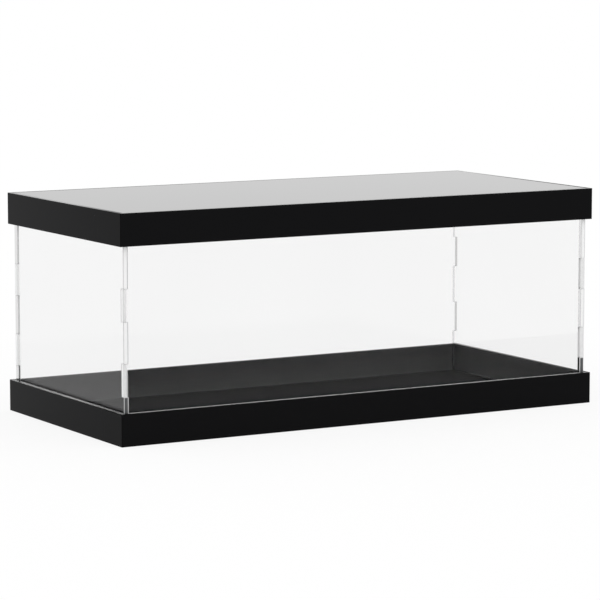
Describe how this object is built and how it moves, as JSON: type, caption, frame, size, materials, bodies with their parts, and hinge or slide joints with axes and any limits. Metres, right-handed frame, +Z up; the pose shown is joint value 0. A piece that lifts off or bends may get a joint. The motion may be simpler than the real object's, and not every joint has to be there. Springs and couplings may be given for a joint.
{
  "type": "display case",
  "caption": "Flat-pack display case: a black base tray, clear panels interlocked by fingers at the corners, and a black lid tray that lifts off.",
  "frame": {"origin": "centre of the underside of the base tray, on the surface that the case stands on", "axes": "+X along the length, +Y from the front to the back, +Z up"},
  "size_m": [0.34, 0.16, 0.14],
  "materials": {
    "black_acrylic": "polished black cast acrylic sheet",
    "clear_acrylic": "clear cast acrylic sheet with laser-cut edges"
  },
  "bodies": {
    "base": {"base_plate": "black_acrylic", "base_front_rail": "black_acrylic", "base_back_rail": "black_acrylic", "base_left_rail": "black_acrylic", "base_right_rail": "black_acrylic"},
    "walls": {"front_panel": "clear_acrylic", "back_panel": "clear_acrylic", "left_panel": "clear_acrylic", "right_panel": "clear_acrylic"},
    "lid": {"lid_plate": "black_acrylic", "lid_front_rail": "black_acrylic", "lid_back_rail": "black_acrylic", "lid_left_rail": "black_acrylic", "lid_right_rail": "black_acrylic"}
  },
  "joints": [
    {"name": "walls_lift", "type": "slide", "parent": "base", "child": "walls", "axis": [0, 0, 1], "range_m": [0, 0.16]},
    {"name": "lid_lift", "type": "slide", "parent": "walls", "child": "lid", "axis": [0, 0, 1], "range_m": [0, 0.16]}
  ]
}
